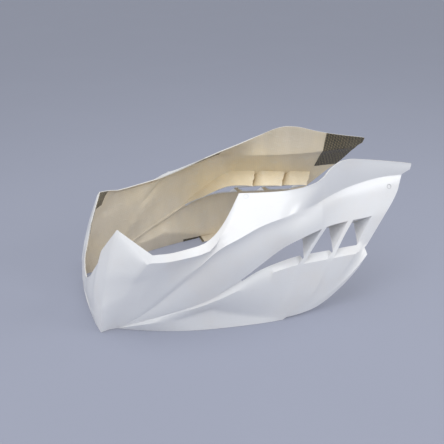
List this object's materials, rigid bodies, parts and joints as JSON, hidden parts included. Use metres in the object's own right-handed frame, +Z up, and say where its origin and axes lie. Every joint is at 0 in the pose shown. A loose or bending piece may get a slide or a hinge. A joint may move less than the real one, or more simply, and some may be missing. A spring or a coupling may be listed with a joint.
{
  "type": "motorcycle headlight fairing",
  "caption": "One-piece glass-fibre nose and side fairing with a screen cut, hooded side vents, a turned rim and woven patches inside.",
  "frame": {"origin": "middle of the base, on the surface the part lies on, upside down as in the picture", "axes": "+X from the nose to the rear tabs, +Y to the side with the far panel of the picture, +Z up from the surface"},
  "size_m": [0.7988, 0.456, 0.332],
  "materials": {
    "gelcoat": "white gelcoat outside, raw glass-fibre laminate inside",
    "weave": "woven carbon and aramid cloth set in resin"
  },
  "bodies": {
    "root": {"fairing_shell": "gelcoat", "nose_patch_left": "weave", "nose_patch_right": "weave", "screen_patch_left": "weave", "screen_patch_right": "weave", "tail_patch_left": "weave", "tail_patch_right": "weave", "foot_patch_left": "weave", "foot_patch_right": "weave"}
  },
  "joints": []
}
